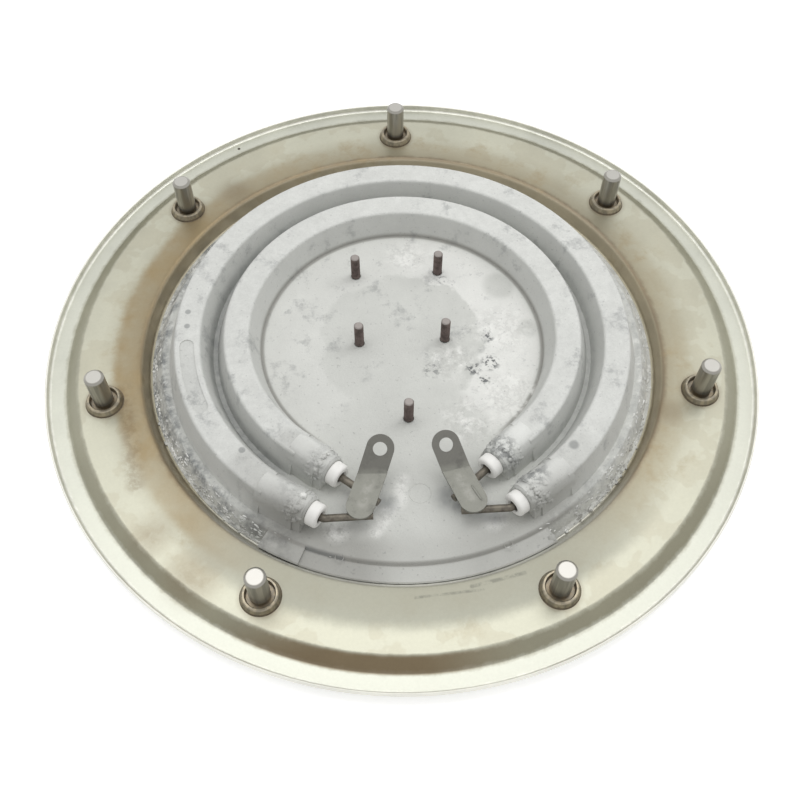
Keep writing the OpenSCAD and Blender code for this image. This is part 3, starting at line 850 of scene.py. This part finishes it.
class URN_OT_control_studs(bpy.types.Operator):
    """Stand five threaded studs in the place of the plain ones"""
    bl_idname = "urn.control_studs"
    bl_label = "Threaded studs"

    def execute(self, context):
        look = context.scene.urn_studs
        radius = SMALL_STUDS["dims"]["stud_r_mm"] * MM
        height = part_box("control_studs")[1].z - FLOOR_Z * MM
        studs = [
            threaded_stud(foot, height, radius, look.pitch, look.depth, look.chamfer)
            for foot in small_stud_feet()]
        material = small_stud_finish(look)
        dress("control_studs", material)
        studs = piece("threaded_studs", *joined(studs), material, "stud_steel", smooth=False)
        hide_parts("control_studs")
        return {"FINISHED"}


class URN_OT_elements(bpy.types.Operator):
    """Finish the tubular elements, their pins and what the tubes hold"""
    bl_idname = "urn.elements"
    bl_label = "Tubular elements"

    def execute(self, context):
        look = context.scene.urn_terminals
        sheath = metal_finish("sheath_steel", tone(150, 149, 144), tone(96, 92, 86), 6.0)
        powder = metal_finish("packed_powder", tone(226, 224, 218), tone(196, 194, 188), 2.0, 0.0, 0.9)
        wire = metal_finish("resistance_wire", tone(138, 126, 110), tone(92, 80, 66), 2.0)
        pin = metal_finish("pin_steel", look.pin, darker(look.pin, 0.5), 3.0, 0.75, 0.45)
        seal = metal_finish("end_seal", tone(176, 104, 92), tone(140, 78, 70), 2.0, 0.0, 0.7)
        for loop in ("outer", "inner"):
            dress(f"{loop}_sheath", sheath)
            dress(f"{loop}_fill", powder)
            dress(f"{loop}_coil", wire)
            for side in ("left", "right"):
                dress(f"{loop}_pin_{side}", pin)
                dress(f"{loop}_seal_{side}", seal)
        return {"FINISHED"}


class URN_OT_beads(bpy.types.Operator):
    """Finish the four white beads"""
    bl_idname = "urn.beads"
    bl_label = "Ceramic beads"

    def execute(self, context):
        look = context.scene.urn_terminals
        for node, middle, direction in tube_ends():
            dress(node, bead_finish(look, f"white_ceramic_{node}", middle, direction))
        return {"FINISHED"}


class URN_OT_terminals(bpy.types.Operator):
    """Finish the two strips and press the rib into the right one"""
    bl_idname = "urn.terminals"
    bl_label = "Terminal strips"

    def execute(self, context):
        look = context.scene.urn_terminals
        material = strip_finish(look)
        for node in ("terminal_left", "terminal_right"):
            dress(node, material)
        start = Vector((21.2, -74.6, STRIP_Z)) * MM
        end = Vector((24.6, -81.4, STRIP_Z)) * MM
        along = (end - start).normalized()
        aside = Vector((-along.y, along.x, 0))
        columns = 12
        rows = 12
        points = []
        for row in range(rows + 1):
            share = row / rows
            taper = math.sqrt(max(1 - (2 * share - 1) ** 6, 0.0004))
            for column in range(columns):
                turn = 2 * math.pi * column / columns
                offset = aside * math.cos(turn) * look.rib / 2
                offset.z = math.sin(turn) * look.rib * 0.3
                points.append(tuple(start.lerp(end, share) + offset * taper))
        faces = grid_faces(rows + 1, columns)
        faces.append(tuple(range(columns - 1, -1, -1)))
        faces.append(tuple(range(rows * columns, (rows + 1) * columns)))
        piece("strip_rib", points, faces, material, "terminal_steel")
        return {"FINISHED"}


class URN_OT_crust(bpy.types.Operator):
    """Scatter the crust along the casting's edge and round the tube ends"""
    bl_idname = "urn.crust"
    bl_label = "Crust"

    def execute(self, context):
        traces = context.scene.urn_traces
        draw = random.Random(7)
        ball = ball_shape()
        grains = []
        lumps = []
        for _ in range(traces.count):
            turn = math.radians(draw.choice((
                draw.gauss(195, 24), draw.gauss(232, 12), draw.gauss(318, 14), draw.uniform(-60, 230))))
            radius = draw.triangular(100.8, 106.9, 105.6)
            size = traces.grain * draw.uniform(0.25, 0.7)
            middle = Vector((radius * math.cos(turn), radius * math.sin(turn), edge_height(radius))) * MM
            grains.append(grain(draw, middle, size, ball, turn + math.pi / 2))
        for turn, low, high in LOBE_ENDS:
            for _ in range(LOBE_LUMPS):
                radius = draw.uniform(101, 107.6)
                at = math.radians(turn + draw.gauss(0, 0.15))
                middle = Vector((radius * math.cos(at), radius * math.sin(at), draw.uniform(low, high))) * MM
                lumps.append(grain(draw, middle, traces.grain * draw.uniform(0.8, 1.5), ball, at, LUMP))
        for _, bead, direction in tube_ends():
            lumps += self.boss_lumps(draw, bead, direction, traces, ball)
        piece("edge_crust", *joined(grains), crust_finish(context.scene.urn_casting), "cast_aluminium")
        material = frame["nodes"]["heating_plate"].data.materials[0]
        piece("cast_lumps", *joined(lumps), material, "cast_aluminium")
        return {"FINISHED"}

    def boss_lumps(self, draw, bead, direction, traces, ball):
        """Low round lumps on the round top of one boss, behind its bead."""
        across = Vector((-direction.y, direction.x, 0))
        heading = math.atan2(direction.y, direction.x)
        lumps = []
        for _ in range(traces.lumps):
            size = traces.grain * draw.uniform(0.6, 1.5)
            back = BEAD_BACK + 1.6 * size / MM + draw.uniform(0, 7.5)
            radius = (NOSE_RADIUS if back < BEAD_BACK + NOSE_LENGTH else BOSS_RADIUS) - 0.72 * size / MM
            roll = math.radians(draw.uniform(-10, 190))
            out = across * math.cos(roll) + Vector((0, 0, 1)) * math.sin(roll)
            middle = bead + (out * radius - direction * back) * MM
            lumps.append(grain(draw, middle, size, ball, heading, LUMP))
        return lumps


class URN_OT_marks(bpy.types.Operator):
    """Add the plain ring between the strips and the small round marks"""
    bl_idname = "urn.marks"
    bl_label = "Marks in the casting"

    def execute(self, context):
        traces = context.scene.urn_traces
        level = FLOOR_Z * MM
        rings = [
            ring((0.002, -0.0727, level), traces.mark / 2, traces.line, 0.5),
            ring((-0.030, -0.0975, level), 0.0016, traces.line * 0.6, 0.4, 32),
            ring((0.0335, -0.0965, level), 0.0016, traces.line * 0.6, 0.4, 32)]
        material = frame["nodes"]["heating_plate"].data.materials[0]
        piece("floor_marks", *joined(rings), material, "cast_aluminium")
        return {"FINISHED"}


class URN_OT_stage(bpy.types.Operator):
    """Set the floor, the lamps, the white background and the camera"""
    bl_idname = "urn.stage"
    bl_label = "Stage"

    def execute(self, context):
        stage = context.scene.urn_stage
        self.lay_floor(stage)
        self.hang_lamp("key_lamp", (-0.02, 0.2, 0.85), stage.size, stage.size * 0.4, stage.key)
        side = self.hang_lamp("side_lamp", (0.45, 0.25, 0.45), 0.3, 0.3, stage.side)
        side.visible_glossy = False
        self.light_sky(context.scene, stage)
        self.set_camera(context.scene, stage)
        return {"FINISHED"}

    def white_rays(self, nodes, links):
        """1 for camera, glossy and transmission rays, which see the white background."""
        path = nodes.new("ShaderNodeLightPath")
        result = path.outputs["Is Camera Ray"]
        for kind in ("Is Glossy Ray", "Is Transmission Ray"):
            larger = nodes.new("ShaderNodeMath")
            larger.operation = "MAXIMUM"
            links.new(result, larger.inputs[0])
            links.new(path.outputs[kind], larger.inputs[1])
            result = larger.outputs[0]
        return result

    def lay_floor(self, stage):
        half = stage.floor / 2
        level = -0.2 * MM
        mesh = bpy.data.meshes.new("floor")
        corners = [(x * half, y * half, level) for x, y in ((-1, -1), (1, -1), (1, 1), (-1, 1))]
        mesh.from_pydata(corners, [], [(0, 1, 2, 3)])
        material = bpy.data.materials.new("pale_floor")
        material.use_nodes = True
        nodes = material.node_tree.nodes
        links = material.node_tree.links
        nodes.clear()
        chalk = nodes.new("ShaderNodeBsdfDiffuse")
        chalk.inputs["Color"].default_value = (0.9, 0.9, 0.9, 1)
        glow = nodes.new("ShaderNodeEmission")
        share = nodes.new("ShaderNodeMath")
        share.operation = "MULTIPLY"
        share.inputs[1].default_value = 0.45
        links.new(self.white_rays(nodes, links), share.inputs[0])
        links.new(share.outputs[0], glow.inputs["Strength"])
        both = nodes.new("ShaderNodeAddShader")
        links.new(chalk.outputs[0], both.inputs[0])
        links.new(glow.outputs[0], both.inputs[1])
        output = nodes.new("ShaderNodeOutputMaterial")
        links.new(both.outputs[0], output.inputs["Surface"])
        mesh.materials.append(material)
        floor = bpy.data.objects.new("floor", mesh)
        bpy.context.scene.collection.objects.link(floor)

    def hang_lamp(self, name, place, width, depth, power):
        """An area lamp that looks at the part's origin."""
        data = bpy.data.lights.new(name, "AREA")
        data.shape = "RECTANGLE"
        data.size = width
        data.size_y = depth
        data.energy = power
        lamp = bpy.data.objects.new(name, data)
        lamp.location = place
        lamp.rotation_euler = (-Vector(place)).to_track_quat("-Z", "Y").to_euler()
        bpy.context.scene.collection.objects.link(lamp)
        return lamp

    def light_sky(self, scene, stage):
        world = bpy.data.worlds.new("studio")
        scene.world = world
        world.use_nodes = True
        nodes = world.node_tree.nodes
        links = world.node_tree.links
        nodes.clear()
        even = nodes.new("ShaderNodeBackground")
        even.inputs["Color"].default_value = (1, 1, 1, 1)
        even.inputs["Strength"].default_value = stage.sky
        white = nodes.new("ShaderNodeBackground")
        white.inputs["Color"].default_value = (1, 1, 1, 1)
        white.inputs["Strength"].default_value = 1
        choice = nodes.new("ShaderNodeMixShader")
        links.new(self.white_rays(nodes, links), choice.inputs[0])
        links.new(even.outputs[0], choice.inputs[1])
        links.new(white.outputs[0], choice.inputs[2])
        output = nodes.new("ShaderNodeOutputWorld")
        links.new(choice.outputs[0], output.inputs["Surface"])

    def set_camera(self, scene, stage):
        data = bpy.data.cameras.new("camera")
        data.lens = stage.lens
        data.sensor_width = 36
        data.clip_start = 0.01
        data.clip_end = 20
        camera = bpy.data.objects.new("camera", data)
        right = Vector((0.99780, -0.06600, 0.00465))
        up = Vector((0.05309, 0.84063, 0.53898))
        back = right.cross(up)
        turn = Matrix((right, up, back)).transposed().to_4x4()
        camera.matrix_world = Matrix.Translation((-0.01862, -0.24339, 0.34197)) @ turn
        scene.collection.objects.link(camera)
        scene.camera = camera
        scene.view_settings.view_transform = "Standard"


class URN_PT_panel(bpy.types.Panel):
    """Lists the pieces of the heating element"""
    bl_idname = "URN_PT_panel"
    bl_label = "Urn element"
    bl_space_type = "VIEW_3D"
    bl_region_type = "UI"
    bl_category = "Urn element"

    def draw(self, context):
        for operator in OPERATORS:
            self.layout.operator(operator.bl_idname)
        for name, group in GROUPS.items():
            box = self.layout.box()
            for item in group.__annotations__:
                box.prop(getattr(context.scene, name), item)


OPERATORS = (
    URN_OT_stage, URN_OT_base_disc, URN_OT_flange_studs, URN_OT_heating_plate, URN_OT_control_studs,
    URN_OT_elements, URN_OT_beads, URN_OT_terminals, URN_OT_crust, URN_OT_marks)
GROUPS = {
    "urn_sheet": UrnSheetLook, "urn_casting": UrnCastingLook, "urn_studs": UrnStudSizes,
    "urn_terminals": UrnTerminalLook, "urn_traces": UrnTraces, "urn_stage": UrnStage}


def register():
    for name, group in GROUPS.items():
        bpy.utils.register_class(group)
        setattr(bpy.types.Scene, name, PointerProperty(type=group))
    for item in (*OPERATORS, URN_PT_panel):
        bpy.utils.register_class(item)


def unregister():
    for item in reversed((*OPERATORS, URN_PT_panel)):
        bpy.utils.unregister_class(item)
    for name, group in GROUPS.items():
        delattr(bpy.types.Scene, name)
        bpy.utils.unregister_class(group)


def main():
    register()
    bpy.ops.urn.stage()
    bpy.ops.urn.base_disc()
    bpy.ops.urn.flange_studs()
    bpy.ops.urn.heating_plate()
    bpy.ops.urn.control_studs()
    bpy.ops.urn.elements()
    bpy.ops.urn.beads()
    bpy.ops.urn.terminals()
    bpy.ops.urn.crust()
    bpy.ops.urn.marks()


if __name__ == "__main__":
    main()
